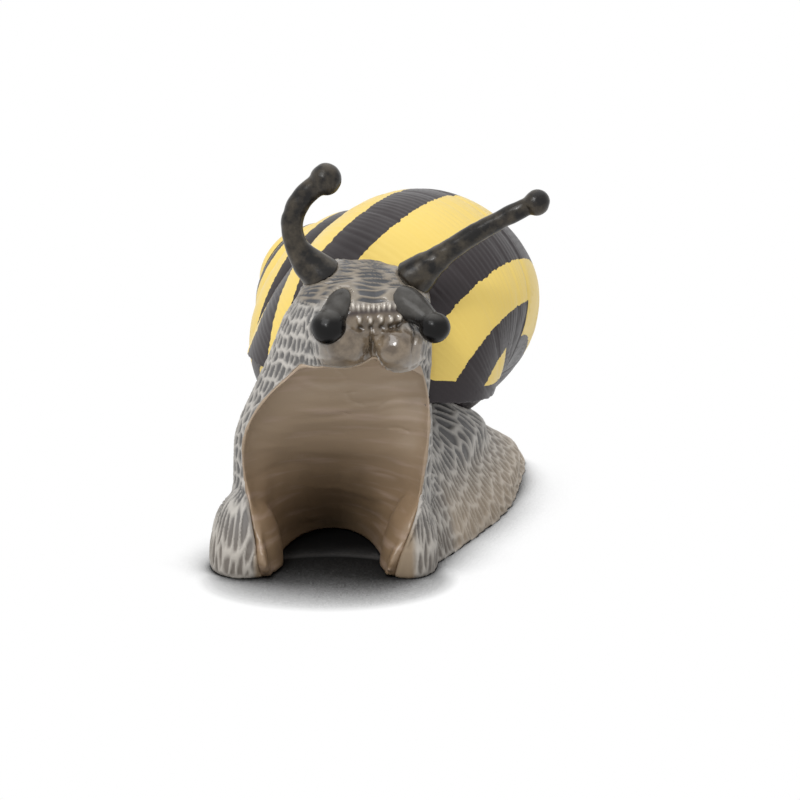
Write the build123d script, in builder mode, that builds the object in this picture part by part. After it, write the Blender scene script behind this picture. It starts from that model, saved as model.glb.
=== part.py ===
from build123d import *
from math import acos, cos, degrees, radians, sin
import os

# A cast snail figurine in seven pieces: a textured foot with its neck and head, a smooth sole
# let into it from below, a shell pushed onto a peg on its back and four tentacles set into its head.
# Millimetres, +Z up. The snail looks along -Y, and its own left side is +X.
# The origin is on the floor, at half the length of the foot.

# Foot, neck and head
foot_length = 72.0
foot_width = 25.0
saddle_height = 19.0
neck_width = 25.4
neck_depth = 20.0
head_height = 39.4
head_turn = 18.0
neck_wall = 1.6

# Hollow under the raised front, and the sole that lines it
hood_wall = 1.5
vault_depth = 25.0
vault_height = 27.5
sole_wall = 1.2
sole_plate = 1.2
hem_margin = 1.6

# The two rounded lobes on which the raised front stands
right_lobe_width = 9.0
left_lobe_width = 7.2
lobe_depth = 13.0
lobe_height = 17.0
lobe_level = 1.4
lobe_out_share = 0.81
lobe_back_share = 0.46

# The two soft lips under the mouth, and the mouth, a curved slit
right_lip_width = 7.6
left_lip_width = 6.8
lip_depth = 7.2
lip_height = 6.0
lip_spread = 6.8
lip_slope = 5.0
mouth_width = 8.0
mouth_gap = 0.5
mouth_arch = 0.6
mouth_depth = 2.0

# Shell: a spiral of oval whorls about an axis that points to the snail's right and up. Its apex
# stands above the saddle by a share of the head's own rise above it
shell_axis_turn = 74.4
shell_axis_rise = 29.9
shell_apex_right = 21.2
shell_apex_back = 35.9
shell_apex_share = 0.8137255
whorl_radius = 11.0
whorl_drop = 28.0
whorl_half_width = 13.7
whorl_half_height = 16.5
columella_radius = 0.9
whorl_growth = 1.64
whorl_count = 4
mouth_heading = 200.7
mouth_stretch = 80.0
lip_turn = 16.7
lip_lean = 23.4

# Peg on the saddle, which the shell is pushed onto
peg_radius = 2.4
peg_drop = 4.0
peg_right = 0.0
peg_back = 36.0

# Tentacles
upper_root_radius = 2.7
upper_stalk_radius = 1.5
right_eye_radius = 2.1
left_eye_radius = 1.75
right_reach = 5.2
right_rise = 14.7
right_lean = 1.0
left_reach = 17.4
left_rise = 12.3
left_lean = 4.4
upper_spread = 7.6
lower_root_radius = 1.75
lower_tip_radius = 1.75
lower_reach = 4.1
lower_fall = 2.2
lower_spread = 6.6
right_lower_splay = 2.3
left_lower_splay = 4.2

# Fits
joint_clearance = 0.1
overrun = 2.0

foot_half_width = foot_width / 2
front = -foot_length / 2
neck_half_width = neck_width / 2
neck_half_depth = neck_depth / 2
vault_half_width = neck_half_width - hood_wall

# Places on the head: shares of the neck's half width and half depth and of the head height
lip_shares = (0.441, -0.12, 0.749)
mouth_shares = (0.504, -0.32, 0.843)
upper_root_shares = (0.362, 0.44, 0.881)
lower_root_shares = (0.472, 0.01, 0.878)

# Foot: shares of the length behind the front, of the half width for the middle and for the
# half width there, and of the saddle height
foot_shares = [
    (0.985, 0.26, 0.10, 0.05),
    (0.90, 0.20, 0.40, 0.18),
    (0.76, 0.13, 0.64, 0.35),
    (0.58, 0.07, 0.89, 0.70),
    (0.42, 0.02, 0.98, 0.88),
    (0.26, -0.03, 1.00, 1.00),
    (0.12, -0.08, 0.97, 1.00),
]

# Cross-section of the foot: shares of its half width and of its height there
dome_shares = [
    (-1, 0), (-0.95, 0.15), (-0.76, 0.5), (-0.44, 0.86), (0, 1),
    (0.44, 0.86), (0.76, 0.5), (0.95, 0.15), (1, 0),
]

# Neck and head: shares of the head height, then of the half width and half depth, for the
# middle of the level oval and for the oval itself
neck_shares = [
    (0.00, 0.01, 0.95, 1.06, 1.10),
    (0.20, 0.03, 0.84, 0.98, 0.99),
    (0.41, 0.08, 0.68, 0.95, 0.80),
    (0.56, 0.16, 0.50, 0.87, 0.66),
    (0.69, 0.24, 0.42, 0.79, 0.66),
    (0.81, 0.30, 0.38, 0.71, 0.70),
    (0.91, 0.37, 0.45, 0.56, 0.60),
    (0.98, 0.40, 0.56, 0.30, 0.34),
]

# Hollow: shares of its height, then of its half width for the middle and for the half width
# there, and of its depth
vault_shares = [
    (0.00, 0.02, 0.74, 1.00),
    (0.18, 0.03, 0.82, 0.78),
    (0.38, 0.06, 0.92, 0.56),
    (0.60, 0.10, 0.97, 0.38),
    (0.80, 0.22, 0.86, 0.24),
    (1.00, 0.36, 0.62, 0.08),
]

# Upper tentacles: shares of the sideways reach, of the rise, and of the way from the root's
# radius to the stalk's
right_stalk_shares = [(0, 0, 0), (0.50, 0.26, 0.7), (0.93, 0.50, 1), (0.90, 0.72, 1), (0.60, 0.88, 1), (0.15, 1, 0.8)]
left_stalk_shares = [(0, 0, 0), (0.20, 0.27, 0.7), (0.40, 0.50, 1), (0.70, 0.78, 1.15), (1, 1, 1.3)]

# Lower tentacles: shares of the reach, of the fall and of the root's radius
lower_stalk_shares = [(0, 0, 1), (0.35, 0.10, 0.86), (0.68, 0.45, 0.72), (1, 1, 0.72)]


def turned(right, back, up):
    """A point given square to the head, which is turned towards the snail's left."""
    turn = radians(head_turn)
    across = right * cos(turn) - back * sin(turn)
    along = right * sin(turn) + back * cos(turn)
    return Vector(across, front + along, up)


head_across = turned(1, 0, 0) - turned(0, 0, 0)
head_along = turned(0, 1, 0) - turned(0, 0, 0)


def on_head(shares, aside):
    """A place on the head, given in shares, and moved aside by a length."""
    across, back, tall = shares
    return turned(neck_half_width * across + aside, neck_half_depth * back, head_height * tall)


def level_plane(place):
    """A level plane at a place, square to the head."""
    return Plane(origin=place, x_dir=head_across)


def foot_section(share):
    """One upright cross-section of the foot, flat below."""
    behind, aside, wide, tall = share
    half = foot_half_width * wide
    height = saddle_height * tall
    middle = Vector(foot_half_width * aside, front + foot_length * behind, 0)
    with BuildSketch(Plane(origin=middle, x_dir=(1, 0, 0), z_dir=(0, -1, 0))) as section:
        with BuildLine():
            Spline([(half * across, height * up) for across, up in dome_shares])
            Line((half, 0), (-half, 0))
        make_face()
    return section.sketch


def neck_section(share):
    """One level oval of the neck or head."""
    tall, aside, back, wide, deep = share
    with BuildSketch(level_plane(on_head((aside, back, tall), 0))) as section:
        Ellipse(neck_half_width * wide, neck_half_depth * deep)
    return section.sketch


def vault_section(share, inset):
    """One level section of the hollow: a half oval that is open to the front."""
    tall, aside, wide, deep = share
    half = vault_half_width * wide - inset
    depth = vault_depth * deep - inset
    place = turned(vault_half_width * aside, 0, (vault_height - inset) * tall)
    with BuildSketch(level_plane(place)) as section:
        with BuildLine():
            Polyline((-half, 0), (-half, -neck_half_depth), (half, -neck_half_depth), (half, 0))
            EllipticalCenterArc((0, 0), half, depth, start_angle=0, arc_size=180)
        make_face()
    return section.sketch


def vault(inset):
    """The hollow as a solid, drawn in on every side by an inset."""
    with BuildPart() as hollow:
        for share in vault_shares:
            add(vault_section(share, inset))
        loft()
    return hollow.part


def rounded_lump(width, depth, height, place):
    """A rounded lump with three different sizes, square to the head."""
    with BuildPart() as lump:
        Sphere(1)
        scale(by=(width / 2, depth / 2, height / 2))
    return level_plane(place) * lump.part


def plate_outline(margin):
    """The flat sole's outline: the foot's own, drawn in from the hem."""
    sides = []
    for side in (-1, 1):
        places = []
        for behind, aside, wide, _ in foot_shares[1:-1]:
            reach = foot_half_width * wide - margin
            places.append((foot_half_width * aside + side * reach, front + foot_length * behind))
        sides.append(places)
    right_side, left_side = sides
    with BuildSketch() as outline:
        with BuildLine():
            Spline(right_side)
            Spline(left_side)
            Line(right_side[-1], left_side[-1])
            Line(right_side[0], left_side[0])
        make_face()
    return outline.sketch


rise = radians(shell_axis_rise)
swing = radians(shell_axis_turn)
shell_axis = Vector(-sin(swing) * cos(rise), cos(swing) * cos(rise), sin(rise))
shell_apex_rise = (head_height - saddle_height) * shell_apex_share
shell_apex = Vector(-shell_apex_right, front + shell_apex_back, saddle_height + shell_apex_rise)
shell_level = shell_axis.cross(Vector(0, 0, 1)).normalized()
shell_under = shell_axis.cross(shell_level)


def whorl_plane(turn):
    """The half plane through the shell's axis at one growth angle, which is 0 near the mouth."""
    heading = radians(mouth_heading - turn)
    outward = shell_level * cos(heading) + shell_under * sin(heading)
    return Plane(origin=shell_apex, x_dir=outward, z_dir=outward.cross(shell_axis * -1))


def whorl_section(turn, grow):
    """The whorl's section at one growth angle: an oval cut short at the columella."""
    size = whorl_growth ** (turn / 360)
    across = whorl_half_width * size + grow
    along = whorl_half_height * size + grow
    inner = columella_radius * size
    reach = degrees(acos((inner - whorl_radius * size) / across))
    with BuildSketch(whorl_plane(turn)) as section:
        with BuildLine():
            middle = (whorl_radius * size, whorl_drop * size)
            rim = EllipticalCenterArc(middle, across, along, start_angle=-reach, arc_size=2 * reach)
            Line(rim @ 1, rim @ 0)
        make_face()
    return section.sketch


def whorl(start, end, steps, grow):
    """One stretch of the spiral."""
    with BuildPart() as stretch:
        for step in range(steps + 1):
            add(whorl_section(start + (end - start) * step / steps, grow))
        loft()
    return stretch.part


def mouth_plane(grow):
    """The plane of the shell's mouth, which leans back at the navel side."""
    square = whorl_plane(lip_turn)
    lean = radians(lip_lean)
    normal = square.z_dir * cos(lean) - square.y_dir * sin(lean)
    middle = square.from_local_coords((whorl_radius, whorl_drop, 0)) - normal * grow
    return Plane(origin=middle, x_dir=square.x_dir, z_dir=normal)


def shell_form(grow):
    """The whole shell, swollen by grow: its last stretch ends at the mouth."""
    with BuildPart() as last:
        add(whorl(-mouth_stretch, mouth_stretch, 5, grow))
        split(bisect_by=mouth_plane(grow), keep=Keep.TOP)
    with BuildPart() as spiral:
        add(last.part)
        add(whorl(-180, -mouth_stretch, 4, grow))
        for half_turn in range(1, 2 * whorl_count - 1):
            add(whorl(-180 * (half_turn + 1), -180 * half_turn, 6, grow))
    return spiral.part


def peg_form(grow):
    """The upright peg that the shell is pushed onto, swollen by grow."""
    with BuildPart() as peg:
        with BuildSketch(Plane.XY.offset(sole_plate + overrun)):
            with Locations((peg_right, front + peg_back)):
                Circle(peg_radius + grow)
        extrude(amount=saddle_height - peg_drop - sole_plate - overrun + grow)
    return peg.part


def tentacle(root, places, radii, tip_radius, grow):
    """A tapering stalk from a point inside the head to a round tip."""
    points = [root + place for place in places]
    path = Spline(points, mode=Mode.PRIVATE)
    with BuildPart() as stalk:
        for point, radius in zip(points, radii):
            with BuildSketch(Plane(origin=point, z_dir=path % path.param_at_point(point))):
                Circle(radius + grow)
        loft()
        with Locations(points[-1]):
            Sphere(tip_radius + grow)
    return stalk.part


def upper_tentacle(side, shares, reach, lift, lean, tip_radius, grow):
    """One of the two long tentacles: side is -1 on the snail's right and 1 on its left."""
    root = on_head(upper_root_shares, side * upper_spread / 2)
    places = [turned(side * reach * out, -lean * up, lift * up) - turned(0, 0, 0) for out, up, _ in shares]
    radii = [upper_root_radius + (upper_stalk_radius - upper_root_radius) * taper for _, _, taper in shares]
    return tentacle(root, places, radii, tip_radius, grow)


def lower_tentacle(side, splay, grow):
    """One of the two short feelers beside the mouth."""
    root = on_head(lower_root_shares, side * lower_spread / 2)
    places = [
        turned(side * splay * out, -lower_reach * out, -lower_fall * down) - turned(0, 0, 0)
        for out, down, _ in lower_stalk_shares
    ]
    radii = [lower_root_radius * thick for _, _, thick in lower_stalk_shares]
    return tentacle(root, places, radii, lower_tip_radius, grow)


def tentacle_forms(grow):
    """The four tentacles by name, each swollen by grow."""
    return {
        "upper_tentacle_right": upper_tentacle(
            -1, right_stalk_shares, right_reach, right_rise, right_lean, right_eye_radius, grow
        ),
        "upper_tentacle_left": upper_tentacle(
            1, left_stalk_shares, left_reach, left_rise, left_lean, left_eye_radius, grow
        ),
        "lower_tentacle_right": lower_tentacle(-1, right_lower_splay, grow),
        "lower_tentacle_left": lower_tentacle(1, left_lower_splay, grow),
    }


def lobe_form(side, width):
    """One of the two lobes under the raised front."""
    place = turned(side * neck_half_width * lobe_out_share, neck_half_depth * lobe_back_share, lobe_level)
    return rounded_lump(width, lobe_depth, lobe_height, place)


def lip_form(side, width):
    """One of the two lips: the pair slopes down to the snail's left."""
    aside = side * lip_spread / 2
    place = on_head(lip_shares, aside) - Vector(0, 0, aside * sin(radians(lip_slope)))
    return rounded_lump(width, lip_depth, lip_height, place)


lobes = [lobe_form(-1, right_lobe_width), lobe_form(1, left_lobe_width)]
lips = [lip_form(-1, right_lip_width), lip_form(1, left_lip_width)]

# The snail's outer form without its shell and tentacles, cut off level with the floor
with BuildPart() as standing_form:
    for share in foot_shares:
        add(foot_section(share))
    loft()
    for share in neck_shares:
        add(neck_section(share))
    loft()
    for lobe in lobes:
        add(lobe)
    split(bisect_by=Plane.XY, keep=Keep.TOP)

# The place that the shell takes in the foot: a wall stays between it and the hollow
with BuildPart() as shell_seat:
    add(shell_form(joint_clearance))
    add(vault(joint_clearance - neck_wall), mode=Mode.SUBTRACT)

# Foot: the textured casting with the neck and head, open below for the sole
mouth_place = on_head(mouth_shares, 0)
with BuildPart() as foot_body:
    add(standing_form.part)
    add(vault(0), mode=Mode.SUBTRACT)
    for lip in lips:
        add(lip)
    with BuildSketch():
        add(plate_outline(hem_margin - joint_clearance))
    extrude(amount=sole_plate + joint_clearance, mode=Mode.SUBTRACT)
    add(shell_seat.part, mode=Mode.SUBTRACT)
    add(peg_form(0))
    with BuildSketch(Plane(origin=mouth_place, x_dir=head_across, z_dir=-head_along)):
        SlotArc(ThreePointArc((-mouth_width / 2, 0), (0, mouth_arch), (mouth_width / 2, 0)), mouth_gap)
    extrude(amount=mouth_depth, both=True, mode=Mode.SUBTRACT)
    for socket in tentacle_forms(joint_clearance).values():
        add(socket, mode=Mode.SUBTRACT)
foot_body.part.label = "foot_body"

# Sole: the smooth lining of the hollow with the inner halves of the lobes, and the flat plate
with BuildPart() as sole:
    add(vault(joint_clearance))
    add(vault(sole_wall), mode=Mode.SUBTRACT)
    for lobe in lobes:
        add(lobe)
    add(vault(joint_clearance), mode=Mode.INTERSECT)
    add(standing_form.part, mode=Mode.INTERSECT)
    for lip in lips:
        add(lip, mode=Mode.SUBTRACT)
    with BuildPart(mode=Mode.PRIVATE) as plate:
        with BuildSketch():
            add(plate_outline(hem_margin))
        extrude(amount=sole_plate)
        add(vault(sole_wall), mode=Mode.SUBTRACT)
    add(plate.part)
sole.part.label = "sole"

# Shell: one closed spiral with the socket for the peg
with BuildPart() as shell:
    add(shell_form(0))
    add(vault(-neck_wall), mode=Mode.SUBTRACT)
    add(peg_form(joint_clearance), mode=Mode.SUBTRACT)
shell.part.label = "shell"

os.makedirs("parts", exist_ok=True)
export_step(foot_body.part, "parts/foot_body.step")
export_step(sole.part, "parts/sole.step")
export_step(shell.part, "parts/shell.step")
for name, feeler in tentacle_forms(0).items():
    feeler.label = name
    export_step(feeler, f"parts/{name}.step")
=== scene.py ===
# %% [markdown]
# # A painted snail figurine
# The real object is a small figurine cast in soft vinyl and painted by hand: a wrinkled foot with a
# raised head, a smooth sole let in from below, a banded shell and four tentacles. The solids of the
# construction already have the right size and place. This lesson gives each of them its skin, in
# metres, in the same frame, and then paints and lights it.

# %% Load the frame
from math import cos, pi, radians, sin

import bmesh
import bpy
import numpy as np
from mathutils import Matrix, Vector
from mathutils.bvhtree import BVHTree


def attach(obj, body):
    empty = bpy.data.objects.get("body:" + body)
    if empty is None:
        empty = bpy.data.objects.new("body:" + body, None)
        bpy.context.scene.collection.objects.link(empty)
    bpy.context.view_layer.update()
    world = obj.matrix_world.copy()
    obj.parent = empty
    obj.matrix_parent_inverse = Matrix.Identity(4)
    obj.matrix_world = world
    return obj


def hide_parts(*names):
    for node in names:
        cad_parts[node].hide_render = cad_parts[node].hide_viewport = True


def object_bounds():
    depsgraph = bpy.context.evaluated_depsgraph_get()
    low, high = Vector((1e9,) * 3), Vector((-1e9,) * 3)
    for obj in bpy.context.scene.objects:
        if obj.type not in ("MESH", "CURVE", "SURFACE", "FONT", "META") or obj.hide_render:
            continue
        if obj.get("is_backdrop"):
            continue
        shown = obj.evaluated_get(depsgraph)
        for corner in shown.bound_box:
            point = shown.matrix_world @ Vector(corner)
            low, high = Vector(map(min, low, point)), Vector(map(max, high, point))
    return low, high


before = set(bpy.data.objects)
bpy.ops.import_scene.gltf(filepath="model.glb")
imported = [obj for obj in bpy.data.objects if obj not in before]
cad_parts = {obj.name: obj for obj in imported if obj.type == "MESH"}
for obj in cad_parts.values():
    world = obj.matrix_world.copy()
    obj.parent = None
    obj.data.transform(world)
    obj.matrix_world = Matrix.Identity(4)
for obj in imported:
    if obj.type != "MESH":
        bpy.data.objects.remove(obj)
cad_low, cad_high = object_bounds()
MM = 0.001
print("solids from", [round(v / MM, 1) for v in cad_low], "to", [round(v / MM, 1) for v in cad_high], "mm")

# %% [markdown]
# A node of the frame is never changed, so each skin starts as a copy of it. The copy's loose triangles
# are merged into one closed surface, and a voxel remesh then divides that surface into small, even
# squares, as a sculptor does before carving fine wrinkles. A few rounds of smoothing take the steps of
# the voxels away. Subdividing the triangles would be quicker, but long thin triangles stay long and
# thin, and carved detail would tear on them.

# %% Copies with an even skin
MERGE = 0.001 * MM


def merged_copy(node, name):
    """A closed copy of a node's loose triangles, as a new object."""
    mesh = bmesh.new()
    mesh.from_mesh(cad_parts[node].data)
    bmesh.ops.remove_doubles(mesh, verts=mesh.verts, dist=MERGE)
    data = bpy.data.meshes.new(name)
    mesh.to_mesh(data)
    mesh.free()
    piece = bpy.data.objects.new(name, data)
    bpy.context.scene.collection.objects.link(piece)
    return piece


def apply_modifiers(piece):
    """The mesh that the modifiers make becomes the piece's own."""
    bpy.context.view_layer.update()
    made = piece.evaluated_get(bpy.context.evaluated_depsgraph_get())
    data = bpy.data.meshes.new_from_object(made)
    piece.modifiers.clear()
    piece.data = data


def remesh(piece, voxel):
    """Even squares of the voxel's size, in millimetres, all over the piece."""
    even = piece.modifiers.new("even", "REMESH")
    even.mode = "VOXEL"
    even.voxel_size = voxel * MM
    even.use_smooth_shade = True
    apply_modifiers(piece)


def relax(piece, rounds, chosen=None):
    """Every vertex, or every chosen one, moves half-way to the middle of its neighbours."""
    mesh = bmesh.new()
    mesh.from_mesh(piece.data)
    mesh.verts.ensure_lookup_table()
    moving = mesh.verts if chosen is None else [mesh.verts[int(index)] for index in np.nonzero(chosen)[0]]
    for _ in range(rounds):
        bmesh.ops.smooth_vert(
            mesh, verts=moving, factor=0.5, use_axis_x=True, use_axis_y=True, use_axis_z=True
        )
    mesh.to_mesh(piece.data)
    mesh.free()


# %% [markdown]
# The wrinkles of a cast figurine are far too many to pull out by hand. Here every vertex gets a height
# from a formula and moves along its own normal. So a mesh's places and normals are read into arrays,
# and each formula works on all the vertices at once, in millimetres. A loop over the vertices would do
# the same, a hundred times slower.

# %% Vertices as arrays
def read_places(piece):
    """Every vertex of a piece, in millimetres."""
    flat = np.zeros(len(piece.data.vertices) * 3)
    piece.data.vertices.foreach_get("co", flat)
    return flat.reshape(-1, 3) / MM


def read_normals(piece):
    """Every vertex's outward direction."""
    flat = np.zeros(len(piece.data.vertices) * 3)
    piece.data.vertices.foreach_get("normal", flat)
    return flat.reshape(-1, 3)


def write_places(piece, places):
    """Moves every vertex of a piece to these places, in millimetres."""
    piece.data.vertices.foreach_set("co", (places * MM).ravel())
    piece.data.update()


def keep(piece, name, values):
    """Stores a number for each vertex, which a material can read by its name."""
    layer = piece.data.attributes.get(name) or piece.data.attributes.new(name, "FLOAT", "POINT")
    layer.data.foreach_set("value", values.astype(np.float32))


# %% [markdown]
# Most formulas here say where something happens: above a height, beside a line, round a point. Two
# small helpers say that in numbers from 0 to 1, and multiplying such numbers cuts zones out of each
# other without any hard edge. A third picks vertices outright, for smoothing.

# %% Limits
def fade(values, low, high):
    """0 below low, 1 above high, and a smooth slope between them."""
    t = np.clip((values - low) / (high - low), 0, 1)
    return t * t * (3 - 2 * t)


def hill(values, middle, reach, power=2):
    """1 at the middle, falling smoothly to 0 on both sides. A higher power gives it a flat top."""
    return np.exp(-(((values - middle) / reach) ** power))


def between(values, low, high):
    """True for the values between two hard limits."""
    return (values > low) & (values < high)


# %% [markdown]
# Castings that fit together hide part of each other. A search tree over a neighbour's surface tells how
# near each vertex is to it, so that wrinkles can stop at a joint, and faces that nobody sees can be
# thinned out.

# %% What the neighbours hide
def surface_of(node):
    """A search tree over the surface of a node of the frame."""
    mesh = bmesh.new()
    mesh.from_mesh(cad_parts[node].data)
    tree = BVHTree.FromBMesh(mesh)
    mesh.free()
    return tree


def nearness(piece, nodes, reach=3.0):
    """How far each vertex lies from the nearest surface of some other nodes, up to a reach."""
    distance = np.full(len(piece.data.vertices), reach)
    for node in nodes:
        tree = surface_of(node)
        found = [tree.find_nearest(vertex.co, reach * MM)[3] for vertex in piece.data.vertices]
        distance = np.minimum(distance, [reach if d is None else d / MM for d in found])
    return distance


def thin_out(piece, hidden, triangles):
    """Fewer faces where a piece is hidden, until about so many triangles are left in all."""
    count = 2 * len(piece.data.polygons)
    group = piece.vertex_groups.new(name="hidden")
    group.add([int(index) for index in np.nonzero(hidden)[0]], 1.0, "REPLACE")
    fewer = piece.modifiers.new("fewer", "DECIMATE")
    fewer.ratio = min(1.0, triangles / count)
    fewer.vertex_group = "hidden"
    fewer.vertex_group_factor = 10
    apply_modifiers(piece)
    piece.vertex_groups.clear()
    piece.data.shade_smooth()
    left = len(piece.data.loops) - 2 * len(piece.data.polygons)
    print(piece.name, "thinned from", count, "to", left, "triangles")


# %% [markdown]
# Skin wrinkles, growth lines and dabs of paint all need patterns that look random and yet come out the
# same each time. A hash of a grid square gives each square a fixed number. Smooth noise blends these
# numbers, and a net of cells measures how far a place is from the nearest joint between two cells.

# %% Patterns that repeat exactly
def hashed(i, j, seed):
    """A fixed number from 0 to 1 for each square of a grid."""
    value = np.sin(i * 127.1 + j * 311.7 + seed * 74.7) * 43758.5453
    return value - np.floor(value)


def noise(a, b, seed):
    """Smooth noise from -1 to 1, with hills about one unit apart."""
    i, j = np.floor(a), np.floor(b)
    s, t = fade(a - i, 0, 1), fade(b - j, 0, 1)
    low = hashed(i, j, seed) * (1 - s) + hashed(i + 1, j, seed) * s
    high = hashed(i, j + 1, seed) * (1 - s) + hashed(i + 1, j + 1, seed) * s
    return 2 * (low * (1 - t) + high * t) - 1


def cell_net(a, b, seed, jitter, fan=False):
    """For a net of cells one unit wide: how far from the nearest joint, and the cell's own number.
    In a fan, b is an angle, and each further row round its middle holds more cells."""
    column = np.floor(a)
    nearest, second = np.full(a.shape, np.inf), np.full(a.shape, np.inf)
    number = np.zeros(a.shape)
    for di in (-1, 0, 1):
        i = column + di
        beside = b * (i + 0.5) if fan else b
        line = np.floor(beside)
        for dj in (-1, 0, 1):
            j = line + dj
            x = i + 0.5 + jitter * (hashed(i, j, seed) - 0.5)
            y = j + 0.5 + jitter * (hashed(i, j, seed + 1) - 0.5)
            away = np.hypot(a - x, beside - y)
            closer = away < nearest
            second = np.where(closer, nearest, np.minimum(second, away))
            number = np.where(closer, hashed(i, j, seed + 2), number)
            nearest = np.where(closer, away, nearest)
    return second - nearest, number


# %% [markdown]
# ## The shell
# A snail's shell is a tube that grows as it turns: each turn is larger than the last by the same
# share. So every point of it can be named by two numbers, how far round the spiral it lies and how far
# round the tube. The growth lines and the painted bands both follow these two numbers. The solid was
# made with the same measures, which are repeated here: the axis and apex, the oval of the tube at the
# mouth, in millimetres, and the share it grows by in a turn.

# %% The spiral's own measures
AXIS_TURN, AXIS_RISE = radians(74.4), radians(29.9)
APEX = np.array([-21.2, -0.1, 35.6])
WHORL_RADIUS, WHORL_DROP = 11.0, 28.0
WHORL_HALF_WIDTH, WHORL_HALF_HEIGHT = 13.7, 16.5
WHORL_GROWTH = 1.64
WHORLS = 5
MOUTH_HEADING = 200.7
LIP_TURN, LIP_LEAN = 16.7, radians(23.4)
UPPER_SIDE_RUNS_ON, LOWER_SIDE_RUNS_ON = 30, 1
TOO_FAR = 9
AXIS = np.array([-sin(AXIS_TURN) * cos(AXIS_RISE), cos(AXIS_TURN) * cos(AXIS_RISE), sin(AXIS_RISE)])
LEVEL = np.cross(AXIS, [0, 0, 1]) / np.linalg.norm(np.cross(AXIS, [0, 0, 1]))
UNDER = np.cross(AXIS, LEVEL)


def spiral_measures(places, near_turn=None):
    """Growth angle, angle round the tube, and distance from its middle, which is 1 on the surface.
    A place lies on the whorl whose surface is nearest, or on the one nearest a given growth angle."""
    arm = places - APEX
    drop = -(arm @ AXIS)
    across, down = arm @ LEVEL, arm @ UNDER
    radius = np.hypot(across, down)
    first = (MOUTH_HEADING - np.degrees(np.arctan2(down, across))) % 360
    best = None
    for whorl in range(-WHORLS, 1):
        turn = first + 360 * whorl
        size = WHORL_GROWTH ** (turn / 360)
        out = (radius - WHORL_RADIUS * size) / (WHORL_HALF_WIDTH * size)
        low = (drop - WHORL_DROP * size) / (WHORL_HALF_HEIGHT * size)
        reach = np.hypot(out, low)
        if near_turn is None:
            end = LIP_TURN + np.where(low < 0, UPPER_SIDE_RUNS_ON, LOWER_SIDE_RUNS_ON)
            misfit = np.abs(reach - 1) + TOO_FAR * (turn > end)
        else:
            misfit = np.abs(turn - near_turn)
        row = np.stack([turn, np.arctan2(low, out), reach, misfit])
        best = row if best is None else np.where(misfit < best[3], row, best)
    return best[:3]


def spiral_point(turn, round_tube):
    """The exact place for a growth angle and an angle round the tube."""
    heading = np.radians(MOUTH_HEADING - turn)
    size = WHORL_GROWTH ** (turn / 360)
    outward = np.outer(np.cos(heading), LEVEL) + np.outer(np.sin(heading), UNDER)
    drop = (WHORL_DROP + WHORL_HALF_HEIGHT * np.sin(round_tube)) * size
    radius = (WHORL_RADIUS + WHORL_HALF_WIDTH * np.cos(round_tube)) * size
    return APEX - np.outer(drop, AXIS) + outward * radius[:, None]


def lip_distance(places):
    """How far behind the flat rim of the shell's mouth a place lies, in millimetres."""
    heading = radians(MOUTH_HEADING - LIP_TURN)
    outward = LEVEL * cos(heading) + UNDER * sin(heading)
    middle = APEX + outward * WHORL_RADIUS - AXIS * WHORL_DROP
    square = np.cross(outward, -AXIS)
    return (places - middle) @ (square * cos(LIP_LEAN) + AXIS * sin(LIP_LEAN))


# %% [markdown]
# The voxels leave the copy a hair off the true spiral. Wherever a vertex lies close to it, it is pulled
# onto it, so that the growth lines start from a surface as clean as a turned one. The mouth and the
# seat over the foot aren't part of the spiral and stay as they are.

# %% Shape the shell
SHELL_VOXEL = 0.26
ON_SPIRAL, OFF_SPIRAL = 0.15, 0.35
shell = merged_copy("shell", "shell_skin")
remesh(shell, SHELL_VOXEL)
relax(shell, 2)
places = read_places(shell)
turn, round_tube, _ = spiral_measures(places)
exact = spiral_point(turn, round_tube)
apart = np.linalg.norm(places - exact, axis=1)
on_spiral = 1 - fade(apart, ON_SPIRAL, OFF_SPIRAL)
places += (exact - places) * on_spiral[:, None]
print("shell:", len(places), "vertices,", round(float(np.mean(on_spiral)), 2), "of them on the spiral")


# %% [markdown]
# Growth lines are thin ridges that run across the tube, each a little different from the last. They
# are finest near the top of the shell, which is also worn the smoothest. Towards the mouth a few deeper
# grooves show where the shell stopped growing for a while. A bump in the material would be cheaper, but
# the ridges catch the light along the outline too, so they are carved.

# %% Growth lines
RIB_STEP, RIB_HEIGHT, RIB_SHARPNESS = 2.15, 0.05, 0.7
SWELL_STEP, SWELL_HEIGHT = 6.5, 0.045
REST_WIDTH, REST_WANDER = 1.5, 1.2
REST_TURNS = [(-76.0, 0.20), (-64.0, 0.10), (-41.0, 0.09), (-22.0, 0.07), (-131.0, 0.10), (-104.0, 0.07)]
WORN_TURNS, WORN_SHARE = (-1100, -500), 0.25


def growth_lines(turn, round_tube):
    """Height of the shell's growth lines, in millimetres."""
    drift = 0.9 * noise(turn / 17, round_tube * 0.8, 3) + 0.35 * noise(turn / 5, round_tube * 1.6, 4)
    phase = turn / RIB_STEP + drift
    ridge = np.abs(np.sin(pi * phase)) ** RIB_SHARPNESS
    strength = 0.75 + 0.5 * noise(np.floor(phase) * 0.73, round_tube * 1.1, 5)
    height = RIB_HEIGHT * strength * (2 * ridge - 1)
    height += SWELL_HEIGHT * noise(turn / SWELL_STEP, round_tube * 0.7, 6)
    for rest, depth in REST_TURNS:
        place = rest + REST_WANDER * noise(round_tube * 1.5, round_tube * 0 + rest, 7)
        height -= depth * hill(turn, place, REST_WIDTH)
    return height


size = WHORL_GROWTH ** (turn / 360)
crisp = WORN_SHARE + (1 - WORN_SHARE) * fade(turn, *WORN_TURNS)
height = growth_lines(turn, round_tube) * np.clip(size, 0.25, 1) * on_spiral * crisp
ribbed = places + read_normals(shell) * height[:, None]
print("growth lines from", round(float(height.min()), 2), "to", round(float(height.max()), 2), "mm")

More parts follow.
